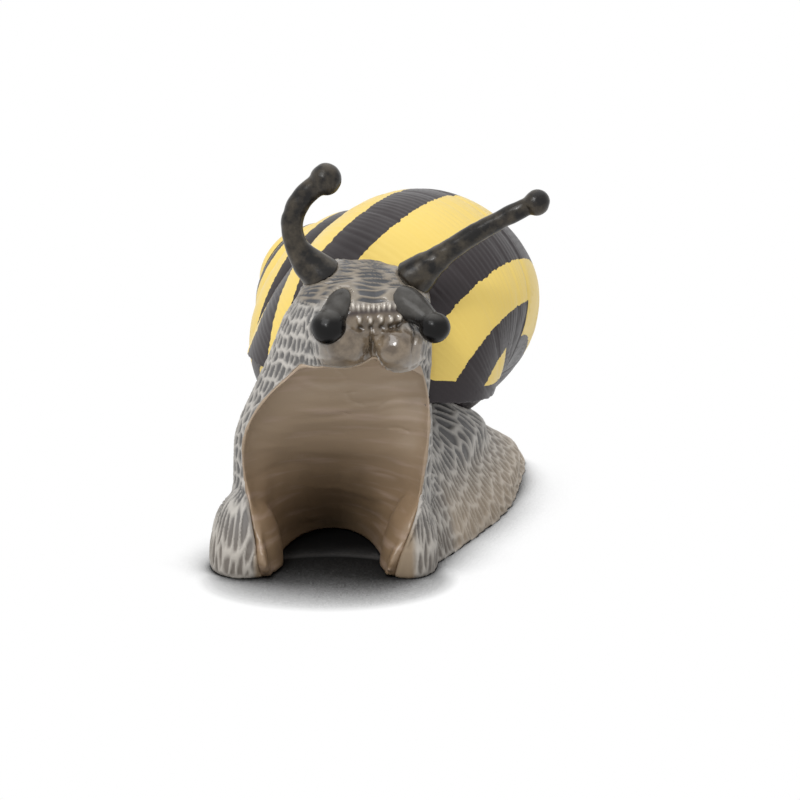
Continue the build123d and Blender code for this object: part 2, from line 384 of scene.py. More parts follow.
# %% [markdown]
# The figurine's last whorl is a little flatter than a true oval just below the mouth's corner. Both of
# its walls move by the same amount there, because a push along the normals would drive the inner wall
# through the outer one.

# %% Flatten the corner by the mouth
FLAT_AT, FLAT_REACH = np.array([19.5, -12.0, 25.5]), np.array([6.5, 11.0, 6.0])
FLAT_WAY, FLAT_DEPTH = [-0.951, -0.309, 0.1], 1.1
flatter = np.exp(-np.sum(((places - FLAT_AT) / FLAT_REACH) ** 2, axis=1))
places = ribbed + np.outer(FLAT_DEPTH * flatter, FLAT_WAY)
write_places(shell, places)
print("flattened by up to", round(FLAT_DEPTH * float(flatter.max()), 2), "mm")

# %% [markdown]
# The mouth has a dark painted rim, which gets narrower towards the snail's left. Its width is measured
# from the flat cut of the mouth, and the result is kept on the vertices for the paint.

# %% The dark rim of the mouth
RIM_WIDTH, RIM_LOSS, RIM_LOSS_X = 2.6, 1.2, (13, 17)
RIM_BLUR = 0.5
RIM_FROM = (0.45, 0.6)
LAST_TURN = -80
rim_width = RIM_WIDTH - RIM_LOSS * fade(places[:, 0], *RIM_LOSS_X)
on_last_turn, left_half = turn > LAST_TURN, places[:, 0] > 0
at_lip = on_last_turn * fade(round_tube, *RIM_FROM) + (turn < LAST_TURN) * left_half
rim = (1 - fade(lip_distance(places) - rim_width, 0, RIM_BLUR)) * at_lip
keep(shell, "rim", rim)
print("rim on", int((rim > 0.5).sum()), "vertices")

# %% [markdown]
# The paint needs the two numbers of the spiral at every point. A UV map can hold them, one pair for
# each corner of each face. All the corners of a face take the whorl of its middle, so that no face is
# smeared across the seam where the tube's angle starts again.

# %% The shell's own pattern coordinates
SHELL_HIDDEN, SHELL_TRIANGLES = 0.3, 185000


def lay_spiral_map(piece):
    """A UV map of growth angle and angle round the tube, each face on its own whorl."""
    mesh = piece.data
    flat = np.zeros(len(mesh.polygons) * 3)
    mesh.polygons.foreach_get("center", flat)
    face_turn = spiral_measures(flat.reshape(-1, 3) / MM)[0]
    totals = np.zeros(len(mesh.polygons), dtype=int)
    mesh.polygons.foreach_get("loop_total", totals)
    corner_vertex = np.zeros(len(mesh.loops), dtype=int)
    mesh.loops.foreach_get("vertex_index", corner_vertex)
    corner_places = read_places(piece)[corner_vertex]
    turn, round_tube, _ = spiral_measures(corner_places, np.repeat(face_turn, totals))
    layer = mesh.uv_layers.new(name="spiral")
    layer.data.foreach_set("uv", np.stack([turn / 360, round_tube], axis=1).ravel())


thin_out(shell, nearness(shell, ["foot_body"]) < SHELL_HIDDEN, SHELL_TRIANGLES)
lay_spiral_map(shell)
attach(shell, "root")
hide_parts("shell")


# %% [markdown]
# ## The foot, neck and head
# On the real figurine this is one casting, covered by a net of raised ridges round sunken, darker
# cells, as on a live snail. The cells are long and follow the body: upright on the neck, fanned out on
# the flanks, and lying across the crown. Each part of the body has its own pair of coordinates along
# and across its cells, and the parts meet where one fades into the next. The head is turned, so places
# on it are measured square to the head.

# %% The frame of the head
HEAD_TURN = radians(18)
FRONT = -36.0


def head_frame(places):
    """Across to the snail's left, back into the head, and up."""
    x, y, z = places.T
    across = x * cos(HEAD_TURN) + (y - FRONT) * sin(HEAD_TURN)
    back = (y - FRONT) * cos(HEAD_TURN) - x * sin(HEAD_TURN)
    return across, back, z


def row_direction(across, back, up):
    """A direction in the object's frame from one that is square to the head."""
    return np.array([
        across * cos(HEAD_TURN) - back * sin(HEAD_TURN),
        across * sin(HEAD_TURN) + back * cos(HEAD_TURN),
        up,
    ])


# %% [markdown]
# The flank's cells fan out from a point above the neck, so a place there is measured by its distance
# from that point and its angle. The neck's stand upright round the neck's middle line, the crown's lie
# across it, and the lobes' run down and outwards. Measured this way, every net below is the same
# simple grid.

# %% Cells along the body
SPINE_Y = [-27.4, -17.3, -5.8, 5.8, 18.7, 28.8, 34.9]
SPINE_REACH = [15.5, 15.7, 14.5, 12.2, 7.3, 4.2, 1.6]
SPINE_LEAN, SPINE_MIDDLE, SPINE_ASIDE = 0.066, -5.8, 0.25
FAN_Y, FAN_HEIGHT = -20.0, 30.0
OTHER_SIDE = 8
NECK_Z = [0, 7.9, 16.2, 22, 27.2, 31.9, 35.9, 38.6]
NECK_ACROSS = [0.13, 0.38, 1.0, 2.0, 3.05, 3.8, 4.7, 5.1]
NECK_BACK = [9.5, 8.4, 6.8, 5.0, 4.2, 3.8, 4.5, 5.6]
NECK_ROUND = 10.5
CROWN_Z, CROWN_BACK, CROWN_ROUND = 34, 5.5, 6.0
LOBE_ASIDE, LOBE_BACK, LOBE_ROUND, LOBE_SWAY = 8.5, 7.0, 8.0, 1.4


def flank_coordinates(places):
    """How far from a point above the neck, and at what angle. Each side has angles of its own."""
    x, y, z = places.T
    aside = x - SPINE_ASIDE - SPINE_LEAN * (y - SPINE_MIDDLE)
    girth = np.arctan2(z, np.abs(aside)) * np.interp(y, SPINE_Y, SPINE_REACH)
    arm = np.hypot(y - FAN_Y, FAN_HEIGHT - girth)
    angle = np.arctan2(y - FAN_Y, FAN_HEIGHT - girth)
    return arm, angle + OTHER_SIDE * (aside > 0)


def neck_coordinates(places):
    """Along and across the cells of the neck."""
    across, back, z = head_frame(places)
    angle = np.arctan2(across - np.interp(z, NECK_Z, NECK_ACROSS), np.interp(z, NECK_Z, NECK_BACK) - back)
    return z, angle * NECK_ROUND


def crown_coordinates(places):
    """Along and across the cells of the crown."""
    across, back, z = head_frame(places)
    return across, CROWN_ROUND * np.arctan2(z - CROWN_Z, CROWN_BACK - back)


def lobe_coordinates(places):
    """Along and across the folds of the two lobes."""
    across, back, z = head_frame(places)
    angle = np.arctan2(across - np.sign(across) * LOBE_ASIDE, LOBE_BACK - back)
    return z + LOBE_SWAY * noise(angle * 7, angle * 0, 27), angle * LOBE_ROUND


# %% [markdown]
# The face carries the smallest features of the whole figurine, so its squares are halved. Remeshing
# the whole foot that finely would cost four times the faces for nothing.

# %% Copy and even out the foot
FOOT_VOXEL = 0.25
FACE_ACROSS, FACE_UP, FACE_BACK = (-1.5, 12.5), (26.5, 37.0), 1.5
TENTACLES = ["upper_tentacle_right", "upper_tentacle_left", "lower_tentacle_right", "lower_tentacle_left"]


def divide_face(piece):
    """Halves the squares on the face."""
    mesh = bmesh.new()
    mesh.from_mesh(piece.data)
    middles = np.array([edge.verts[0].co + edge.verts[1].co for edge in mesh.edges]) / 2 / MM
    across, back, z = head_frame(middles)
    inside = between(across, *FACE_ACROSS) & between(z, *FACE_UP) & (back < FACE_BACK)
    edges = [edge for edge, wanted in zip(mesh.edges, inside) if wanted]
    bmesh.ops.subdivide_edges(mesh, edges=edges, cuts=1, use_grid_fill=True)
    mesh.to_mesh(piece.data)
    mesh.free()
    return len(edges)


foot = merged_copy("foot_body", "foot_skin")
remesh(foot, FOOT_VOXEL)
relax(foot, 3)
print("face edges halved:", divide_face(foot))
to_sole = nearness(foot, ["sole"])
to_shell = nearness(foot, ["shell"])
to_tentacles = nearness(foot, TENTACLES)
print("foot:", len(foot.data.vertices), "vertices")

# %% [markdown]
# The solid's hollow is a plain oval. On the figurine its right rim leans further out, its left wall is
# thinner, and its top edge rises into the cleft between the lips and dips under the right cheek. The
# foot and the sole share this edge, so one helper bends both of them.

# %% Lean the rim of the hollow
RIGHT_LEAN, RIGHT_INNER_LEAN, LEFT_INNER_LEAN = 0.55, 0.6, 1.15
RIGHT_UP, RIGHT_ACROSS, RIGHT_BACK = (17, 10.5), (-7, -1), (8, 14)
LEFT_UP, LEFT_ACROSS, LEFT_BACK = (15, 12, 4), (1, 8), (6, 12)
CHEEK_DROP, CHEEK_ACROSS, CHEEK_UP, CHEEK_BACK = 0.9, (-1.4, 2.4), (28.6, 1.7), (1, 3)
CLEFT_LIFT, CLEFT_ACROSS, CLEFT_UP, CLEFT_BACK = 1.0, (5.7, 1.0), (28.4, 1.5), (0, 2)


def lean_rim(places, inner):
    """Moves the walls of the hollow outwards, and its top edge to the lips. Inner is 1 inside it."""
    across, back, z = head_frame(places)
    right = hill(z, *RIGHT_UP) * (1 - fade(across, *RIGHT_ACROSS)) * (1 - fade(back, *RIGHT_BACK))
    left = hill(z, *LEFT_UP) * fade(across, *LEFT_ACROSS) * (1 - fade(back, *LEFT_BACK))
    cheek = hill(across, *CHEEK_ACROSS) * hill(z, *CHEEK_UP) * (1 - fade(back, *CHEEK_BACK))
    cleft = hill(across, *CLEFT_ACROSS) * hill(z, *CLEFT_UP) * (1 - fade(back, *CLEFT_BACK))
    lean = LEFT_INNER_LEAN * inner * left - (RIGHT_LEAN + RIGHT_INNER_LEAN * inner) * right
    lift = CLEFT_LIFT * cleft - CHEEK_DROP * cheek
    return places + np.outer(lean, row_direction(1, 0, 0)) + np.outer(lift, [0, 0, 1])


# %% [markdown]
# In the solid the two lobes under the raised front are plain rounded lumps on the neck. On the figurine
# they flare out of it without a crease. Smoothing just this zone many times over melts them together,
# and a shorter smoothing does the same to the lips. The left flank then swells a little towards the
# tail, and beside the saddle the skin climbs up to the shell.

# %% Melt the lobes into the neck and fill the flank
LOBE_ROUNDS, LOBES_UP, LOBES_ASIDE, LOBES_BACK = 40, (3.5, 15), 7, 14
LIP_ROUNDS, LIPS_UP, LIPS_ACROSS, LIPS_BACK = 12, (25.5, 31.5), (-3, 13), 1
FLANK_SWELL, FLANK_ALONG, FLANK_UP, FLANK_ASIDE = 1.7, (21, 11), (0.8, 3.5), (-7, 2)
SADDLE_CLIMB, SADDLE_ALONG, SADDLE_ASIDE = 2.0, (-1.5, 8.5, 4), ((2.8, 4.6), (11, 15))
SADDLE_UP, CLIMB_WAY = (7.5, 11), [0.70, 0.0, 0.71]
places = read_places(foot)
across, back, z = head_frame(places)
crease = between(z, *LOBES_UP) & (np.abs(across) > LOBES_ASIDE) & (back < LOBES_BACK) & (to_sole > 0.5)
relax(foot, LOBE_ROUNDS, crease)
lips = between(z, *LIPS_UP) & between(across, *LIPS_ACROSS) & (back < LIPS_BACK) & (to_sole > 0.4)
relax(foot, LIP_ROUNDS, lips)
places = read_places(foot)
inner_side = (1 - fade(to_sole, 0.15, 1.2)) * fade(to_shell, 0.5, 2)
moved = lean_rim(places, inner_side)
x, y, z = places.T
fuller = hill(y, *FLANK_ALONG) * fade(z, *FLANK_UP) * fade(x, *FLANK_ASIDE)
fuller *= fade(to_shell, 0.6, 2.5) * fade(to_sole, 0.3, 1.0)
moved += read_normals(foot) * (FLANK_SWELL * fuller)[:, None]
climb = fade(x, *SADDLE_ASIDE[0]) * (1 - fade(x, *SADDLE_ASIDE[1]))
climb *= hill(y, *SADDLE_ALONG) * fade(z, *SADDLE_UP)
moved += np.outer(SADDLE_CLIMB * climb, CLIMB_WAY)
write_places(foot, moved)
print("smoothed", int(crease.sum()), "vertices on the lobes and", int(lips.sum()), "on the lips")

# %% [markdown]
# The crown of the head is smooth and round, and a little lower on the snail's left.

# %% Round the crown
CROWN_ROUNDS, CROWN_ABOVE = 60, 36.2
CROWN_SLOPE, SLOPE_ACROSS, SLOPE_UP, SLOPE_BACK = 0.8, (5.5, 9.5), (35.6, 37.2), (-8, -5)
crown = (moved[:, 2] > CROWN_ABOVE) & (to_tentacles > 0.5)
relax(foot, CROWN_ROUNDS, crown)
places = read_places(foot)
across, back, z = head_frame(places)
slope = fade(across, *SLOPE_ACROSS) * fade(z, *SLOPE_UP) * fade(back, *SLOPE_BACK)
write_places(foot, places - np.outer(CROWN_SLOPE * slope, [0, 0, 1]))
print("crown:", int(crown.sum()), "vertices rounded")

# %% [markdown]
# Now the four nets are laid over the body and faded into each other. The result is one number for each
# vertex: 0 on a ridge and 1 in the middle of a cell. A cell's own random number makes some cells
# shallower than others, as hand-carved ones are.

# %% The net of ridges
FLANK_CELL, NECK_CELL, LOBE_CELL, CROWN_CELL = (3.9, 1.12), (1.9, 0.92), (4.6, 0.8), (3.8, 0.66)
CELL_JITTER = 0.66
RIDGE_EDGE, PIT_FLOOR = 0.05, 0.46
NECK_START, NECK_FRONT = (17.5, 19.5), (-18, 2.5)
CROWN_START, CROWN_END = (33.9, 34.9), (-8, -7)
LOBE_TOP, LOBE_END = (9.0, 11.0), (9, 12)
places = read_places(foot)
normals = read_normals(foot)
x, y, z = places.T
across, back, _ = head_frame(places)
facing = -(normals @ row_direction(0, 1, 0))


def net_of(coordinates, cell, seed, fan=False):
    """Distance from the ridges and cell numbers of a net whose cells have this length and width."""
    along, aside = coordinates
    length, width = cell
    if fan:
        return cell_net(along / length, aside * length / width, seed, CELL_JITTER, fan=True)
    wander = 0.4 * noise(along / 6, aside / 6, seed + 8)
    return cell_net(along / length, aside / width + wander, seed, CELL_JITTER)


on_neck = np.maximum(fade(NECK_FRONT[0] - y, 0, NECK_FRONT[1]), fade(z, *NECK_START))
on_crown = fade(z, *CROWN_START) * fade(back, *CROWN_END)
on_lobe = (1 - fade(z, *LOBE_TOP)) * (1 - fade(back, *LOBE_END))
joint, cell = net_of(flank_coordinates(places), FLANK_CELL, 11, fan=True)
for zone, (next_joint, next_cell) in (
    (on_neck, net_of(neck_coordinates(places), NECK_CELL, 21)),
    (on_crown, net_of(crown_coordinates(places), CROWN_CELL, 31)),
    (on_lobe, net_of(lobe_coordinates(places), LOBE_CELL, 26)),
):
    joint = joint * (1 - zone) + next_joint * zone
    cell = np.where(zone > 0.5, next_cell, cell)
pit = fade(joint, RIDGE_EDGE, PIT_FLOOR)
print("share of the skin in the cells:", round(float(np.mean(pit)), 2))

# %% [markdown]
# The skin isn't wrinkled everywhere. It is smooth where another casting lies on it, on the face, and on
# the inner part of the lobes, which looks like the sole beside it. Elsewhere the ridges stand a little
# above the solid, the cells lie below it, and a slow unevenness keeps the whole from looking machined.

# %% Where the skin is bare of wrinkles
SKIN_RAISED, CELL_DEPTH, UNEVEN = 0.13, 0.34, 0.10
SHALLOW_CELL, SHALLOW_CROWN, SHALLOW_LOBE = 0.35, 0.45, 0.3
FACE_FACING, FACE_BOTTOM, FACE_TOP = (0.15, 0.6), (25.5, 27.5), (34.7, 35.0)
FACE_RIGHT, FACE_LEFT = (-1.2, 0.3), (11.3, 12.2)
SLEEK_RIGHT, SLEEK_LEFT, SLEEK_LEFT_LEAN, SLEEK_TOP = (-9.3, -8.7), (10.6, 11.4), 0.05, (8, 14)
VISIBLE_FACING = (-0.2, 0.3)
free = fade(to_sole, 0.15, 0.6) * fade(to_shell, 0.3, 1.2) * fade(to_tentacles, 0.1, 0.9)
free *= fade(z, 0.05, 0.8)
face = fade(facing, *FACE_FACING) * fade(z, *FACE_BOTTOM) * (1 - fade(z, *FACE_TOP))
face *= fade(across, *FACE_RIGHT) * (1 - fade(across, *FACE_LEFT))
sleek_left = 1 - fade(across, SLEEK_LEFT[0] - SLEEK_LEFT_LEAN * z, SLEEK_LEFT[1])
sleek = np.where(across > 0, sleek_left, fade(across, *SLEEK_RIGHT))
sleek *= (1 - fade(z, *SLEEK_TOP)) * fade(facing, *VISIBLE_FACING)
depth = CELL_DEPTH * (1 - SHALLOW_CELL * cell) * (1 - SHALLOW_CROWN * on_crown) * (1 - SHALLOW_LOBE * on_lobe)
skin = SKIN_RAISED - depth * pit
skin += UNEVEN * noise(x / 3 + z / 4, y / 3, 41) * (1 - face)
height = skin * free * (1 - face) * (1 - sleek)
print("skin from", round(float(height.min()), 2), "to", round(float(height.max()), 2), "mm")

# %% [markdown]
# The face is the finest part: a brow over a thin curved mouth, a row of little knobs on the upper lip,
# a plate of blunt teeth below it, and two soft lips that meet in a cleft. Each of these is a smooth
# bump or dent at its own place on the head, so a short list of them says all there is. Each bump below
# has its place across and up, its half width and half height, how far it is raised, and its tilt.

# %% The face
KNOB_COUNT, KNOB_FIRST, KNOB_STEP, KNOB_UP = 10, 2.9, 0.6, 34.35
KNOB_SIZE, KNOB_HEIGHT = (0.2, 0.32), 0.36
TOOTH_PLACES, TOOTH_UP = [4.2, 5.5, 6.8, 7.9, 8.8], 33.0
TOOTH_SIZE, TOOTH_HEIGHT = (0.36, 0.5), 0.42
GAP_ASIDE, GAP_UP, GAP_SIZE, GAP_DEPTH = 0.1, 32.1, (0.32, 0.3), 0.30
ZIGZAG = 0.1
KNOBS = [(KNOB_FIRST + KNOB_STEP * k, KNOB_UP + ZIGZAG * (k % 2)) for k in range(KNOB_COUNT)]
TEETH = [(place, TOOTH_UP - ZIGZAG * (k % 2)) for k, place in enumerate(TOOTH_PLACES)]
TOOTH_GAPS = [(place + GAP_ASIDE, GAP_UP) for place in TOOTH_PLACES]
LIP_BUMPS = {
    "ridge over the lips": ((5.9, 31.35), (2.4, 0.3), 0.28, 0.0),
    "cleft": ((5.7, 30.1), (0.2, 1.3), -0.75, 0.06),
    "fold beside the right lip": ((-0.2, 31.2), (0.28, 2.4), -0.40, 0.25),
    "fold of the right cheek": ((-2.6, 30.2), (0.28, 2.0), -0.30, 0.35),
    "fold beside the left lip": ((10.9, 30.8), (0.25, 2.6), -0.35, -0.1),
    "dimple on the brow": ((7.4, 37.7), (0.45, 0.25), -0.45, 0.0),
}
LEFT_CREASES = [((11.5 + 0.35 * k, 29.5), (0.14, 2.6), 0.16, -0.08) for k in range(4)]
FRONT_FACING, FRONT_BACK = (0.0, 0.35), (-0.5, 1.5)


def bump(middle, radii, raised, tilt=0.0):
    """A soft bump on the front of the head, or a dent where raised is below 0."""
    da, dz = across - middle[0], z - middle[1]
    along = da * cos(tilt) + dz * sin(tilt)
    over = dz * cos(tilt) - da * sin(tilt)
    return raised * np.exp(-((along / radii[0]) ** 2) - (over / radii[1]) ** 2)


front_side = fade(facing, *FRONT_FACING) * (1 - fade(back, *FRONT_BACK))
features = np.zeros(len(places))
for middle in KNOBS:
    features += bump(middle, KNOB_SIZE, KNOB_HEIGHT)
for middle in TEETH:
    features += bump(middle, TOOTH_SIZE, TOOTH_HEIGHT)
for middle in TOOTH_GAPS:
    features += bump(middle, GAP_SIZE, -GAP_DEPTH)
for shape in [*LIP_BUMPS.values(), *LEFT_CREASES]:
    features += bump(*shape)
height += features * front_side * fade(to_tentacles, 0.0, 0.6)
print("face:", len(KNOBS), "knobs,", len(TEETH), "teeth,", len(LIP_BUMPS) + len(LEFT_CREASES), "lip forms")

# %% [markdown]
# Where two castings meet, the foot stands up a little round the other: as a soft edge beside the sole,
# and as a collar of skin round each tentacle. At the floor the foot spreads into a hem of small
# scallops. It has to stay flat underneath, so nothing goes below the resting plane.

# %% Collars, the hem and the resting plane
SOLE_EDGE, COLLAR = 0.22, 0.55
HEM_STEP, HEM_HEIGHT, HEM_EVEN = 3.1, 0.42, 0.75
HEM_NARROWS = 30
height += SOLE_EDGE * (1 - fade(to_sole, 0.3, 1.4)) * (1 - fade(z, 10, 14)) * fade(facing, *VISIBLE_FACING)
height += COLLAR * (1 - fade(to_tentacles, 0.1, 2.4)) * fade(to_sole, 0.3, 1.0) * fade(to_shell, 0.4, 1.5)
hem_swing = HEM_NARROWS * np.arcsinh((y - FAN_Y) / HEM_NARROWS)
scallop = np.abs(np.sin(pi * (hem_swing / HEM_STEP + 0.25 * noise(hem_swing / 7, z * 0, 51))))
low_down = (1 - fade(z, 0.5, 3.5)) * fade(z, -0.3, 0.4)
on_flank = 1 - fade(-24 - y, 0, 3)
height += HEM_HEIGHT * (scallop - HEM_EVEN) * low_down * on_flank
moved = places + normals * height[:, None]
moved[:, 2] = np.where(z < 0.35, z, np.maximum(moved[:, 2], 0.0))
write_places(foot, moved)
print("foot skin from", round(float(height.min()), 2), "to", round(float(height.max()), 2), "mm")

# %% [markdown]
# A painter gives such a skin one wash of dark paint that settles in the cells, more of it on the back
# and round the tentacles, and leaves it out low on the flanks and on the face. These choices are kept
# on the vertices too, with painted shade along the mouth's slit and between the teeth, and painted highlights
# on the knobs and teeth.

# %% Paint on the foot
BACK_DARK, CROWN_DARK, ROOT_DARK, LOBE_DARK, NECK_DARK = 0.75, 0.45, 0.7, 0.25, 0.25
SLIT_MIDDLE, SLIT_UP, SLIT_BOW, SLIT_HALF_LENGTH, SLIT_WIDTH = 6.4, 33.45, 0.6, 4.3, 0.35
PAINT_ABOVE = 0.05
# Sizes of the painted shade between the teeth and of the painted highlights on the teeth and knobs.
GAP_SHADE_SIZE, TOOTH_GLINT_SIZE, KNOB_GLINT_SIZE = (0.42, 0.35), (0.20, 0.30), (0.15, 0.30)
high_dark = fade(z - 0.25 * np.abs(y + 10), 6, 18) * (1 - on_neck)
crown_dark = fade(z, 34.5, 38)
near_roots = 1 - fade(to_tentacles, 0.3, 2.2)
low_warm = (1 - fade(z, 2, 11)) * (1 - 0.5 * on_neck)
dark = BACK_DARK * high_dark + CROWN_DARK * crown_dark + ROOT_DARK * near_roots
dark += LOBE_DARK * on_lobe + NECK_DARK * on_neck
from_middle = across - SLIT_MIDDLE
# The mouth's slit is painted dark along its line: painted shade where the slot lies.
slit_shade = hill(z, SLIT_UP + SLIT_BOW * (1 - (from_middle / 4) ** 2), SLIT_WIDTH)
slit_shade *= np.abs(from_middle) < SLIT_HALF_LENGTH
tooth_gap_shade, painted_glint = np.zeros(len(places)), np.zeros(len(places))
# Dark dabs in the dents between the teeth are painted shade.
for place, up in TOOTH_GAPS:
    tooth_gap_shade += bump((place, up + PAINT_ABOVE), GAP_SHADE_SIZE, 1.0)
# Pale dabs on the teeth and knobs are painted highlights.
for place, up in TEETH:
    painted_glint += bump((place, up + PAINT_ABOVE), TOOTH_GLINT_SIZE, 0.9)
for middle in KNOBS:
    painted_glint += bump(middle, KNOB_GLINT_SIZE, 1.0)
painted = {
    "pit": pit * free * (1 - face) * (1 - sleek),
    "sleek": sleek,
    "crown": on_crown * (1 - face),
    "dark": dark,
    "warm": low_warm + 0.5 * face,
    "wet": face + near_roots * 0.6,
    "painted_slit_shade": slit_shade * front_side,
    "painted_glint": painted_glint * front_side,
    "mouth": bump((5.6, 30.6), (6.2, 4.4), 1.7) * front_side * face,
    "painted_gap_shade": tooth_gap_shade * front_side,
}
for name, values in painted.items():
    keep(foot, name, np.clip(values, 0, 1))
    print(name, "covers", round(float(np.mean(values > 0.5)), 3), "of the vertices")

# %% [markdown]
# The sockets and the seat of the shell never show, so the foot's faces are thinned there.

# %% Finish the foot's mesh
FOOT_TRIANGLES = 197000
thin_out(foot, (to_sole < 0.2) | (to_shell < 0.2) | (to_tentacles < 0.15), FOOT_TRIANGLES)
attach(foot, "root")
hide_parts("foot_body")

# %% [markdown]
# ## The sole
# The smooth lining of the raised front is a separate, paler casting. The solid's front edge is as thick
# as its wall, while the figurine's runs out thin against the skin. So each vertex near the edge moves
# towards the foot behind it, by a share that fades out further in. Moving it rather than cutting it
# keeps the surface closed.

# %% Copy the sole and thin its edge
NECK_HALF = [13.5, 12.4, 12.1, 11.0, 10.0, 9.0, 7.1, 3.8]
NECK_DEEP = [11.0, 9.9, 8.0, 6.6, 6.6, 7.0, 6.0, 3.4]
SOLE_VOXEL = 0.26
EDGE_SHARE = 0.10
WIDEST = 0.98
SOLE_LOBE_ROUNDS, SOLE_LOBES_UP = 14, (0.6, 16)
sole = merged_copy("sole", "sole_skin")
remesh(sole, SOLE_VOXEL)
relax(sole, 3)
places = read_places(sole)
across, back, z = head_frame(places)
aside = (across - np.interp(z, NECK_Z, NECK_ACROSS)) / np.interp(z, NECK_Z, NECK_HALF)
bow = np.sqrt(1 - np.clip(aside, -WIDEST, WIDEST) ** 2)
behind = back - np.interp(z, NECK_Z, NECK_BACK) + np.interp(z, NECK_Z, NECK_DEEP) * bow
foot_surface = surface_of("foot_body")
wall = np.array([foot_surface.find_nearest(vertex.co)[0] for vertex in sole.data.vertices]) / MM
thinner = (1 - EDGE_SHARE) * (1 - fade(behind, 0.2, 7.0)) * fade(z, 6, 11)
places = wall + (places - wall) * (1 - thinner)[:, None]
write_places(sole, lean_rim(places, np.ones(len(places))))
relax(sole, SOLE_LOBE_ROUNDS, between(z, *SOLE_LOBES_UP) & (back < LOBES_BACK))
print("sole:", len(places), "vertices, edge thinned to", EDGE_SHARE)

# %% [markdown]
# The sole shows only faint wrinkles that run across it, a few deeper creases near its top, and a slight
# curl on the lobes. All of them are the same noise, drawn out sideways.

# %% Low waves on the sole
WAVE, FOLD, CURL, CREASE = 0.05, 0.13, 0.10, 0.13
CREASE_WIDTH = 0.07
SOLE_RAISED, SOLE_HIDDEN_RAISED = 0.1, 0.2
places = read_places(sole)
normals = read_normals(sole)
across, back, z = head_frame(places)
waves = noise(across / 9, z / 0.9 + 1.6 * noise(across / 5, z / 6, 62), 61)
fold = noise(across / 14 + 3, z / 2.4, 63)
curl = noise(across / 1.3, z / 9, 64) * (1 - fade(z, 8, 14)) * fade(z, 1.5, 4)
line = noise(across / 5 + 7, z / 1.3 + noise(across / 3, z / 5, 65), 66)
crease = hill(line, 0, CREASE_WIDTH) * fade(noise(across / 3, z / 3, 67), 0.1, 0.5) * fade(z, 14, 19)
visible = fade(-(normals @ row_direction(0, 1, 0)), *VISIBLE_FACING) * fade(z, 0.4, 2.0)
height = (WAVE * waves + FOLD * fold + CURL * curl - CREASE * crease) * visible + SOLE_RAISED
height += SOLE_HIDDEN_RAISED * (1 - visible) * (1 - fade(z, 9, 14))
write_places(sole, places + normals * (height * fade(z, 0.0, 0.5))[:, None])
keep(sole, "low", 1 - fade(z, 3, 24))
print("sole skin from", round(float(height.min()), 2), "to", round(float(height.max()), 2), "mm")
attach(sole, "root")
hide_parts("sole")

# %% [markdown]
# ## The tentacles
# Four separate castings sit in sockets in the head: two long ones with eyes at their tips, and two
# short feelers beside the mouth. They are smooth, with a few soft rings, and swell a little towards
# their roots. One loop makes all four, because only their seeds differ.

# %% Shape the tentacles
STALK_VOXEL = 0.14
RING, LUMP = 0.05, 0.05
ROOT_SWELL, EYE_TRIM = 0.45, 0.12
TIP_BELOW = (33.0, 34.2)
tentacles = []
for seed, node in enumerate(TENTACLES):
    stalk = merged_copy(node, node + "_skin")
    remesh(stalk, STALK_VOXEL)
    relax(stalk, 6)
    places = read_places(stalk)
    x, y, z = places.T
    rings = noise(z / 0.8 + 0.3 * x, x / 2.5 + y / 2.5, 71 + seed)
    lumps = noise(x / 1.3 + y / 2, z / 1.3 + y / 2, 81 + seed)
    to_head = nearness(stalk, ["foot_body"], 6.0)
    height = RING * rings + LUMP * lumps + ROOT_SWELL * (1 - fade(to_head, 0.5, 5.0))
    if node.startswith("upper"):
        height -= EYE_TRIM * fade(to_head, 4.0, 6.0)
    write_places(stalk, places + read_normals(stalk) * (height * fade(to_head, 0.12, 0.4))[:, None])
    keep(stalk, "tip", 1 - fade(z, *TIP_BELOW))
    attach(stalk, "root")
    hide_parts(node)
    tentacles.append(stalk)
    print(stalk.name, len(places), "vertices")


# %% [markdown]
# ## Paints
# A painted vinyl figurine has a plain base colour in the vinyl and a thin wash of darker paint that
# stays in the hollows. The materials work the same way: the vertex numbers that were kept above say
# where the wash lies, and noise makes it patchy. Picture textures would be quicker to paint, but they
# blur when the camera comes close, and noise never does. This small class keeps the recipes short.

# %% Helpers for materials
def srgb(red, green, blue):
    """A colour as a screen shows it, from 0 to 255, as the shader needs it."""
    steps = [value / 255 for value in (red, green, blue)]
    return tuple(v / 12.92 if v <= 0.04045 else ((v + 0.055) / 1.055) ** 2.4 for v in steps) + (1.0,)


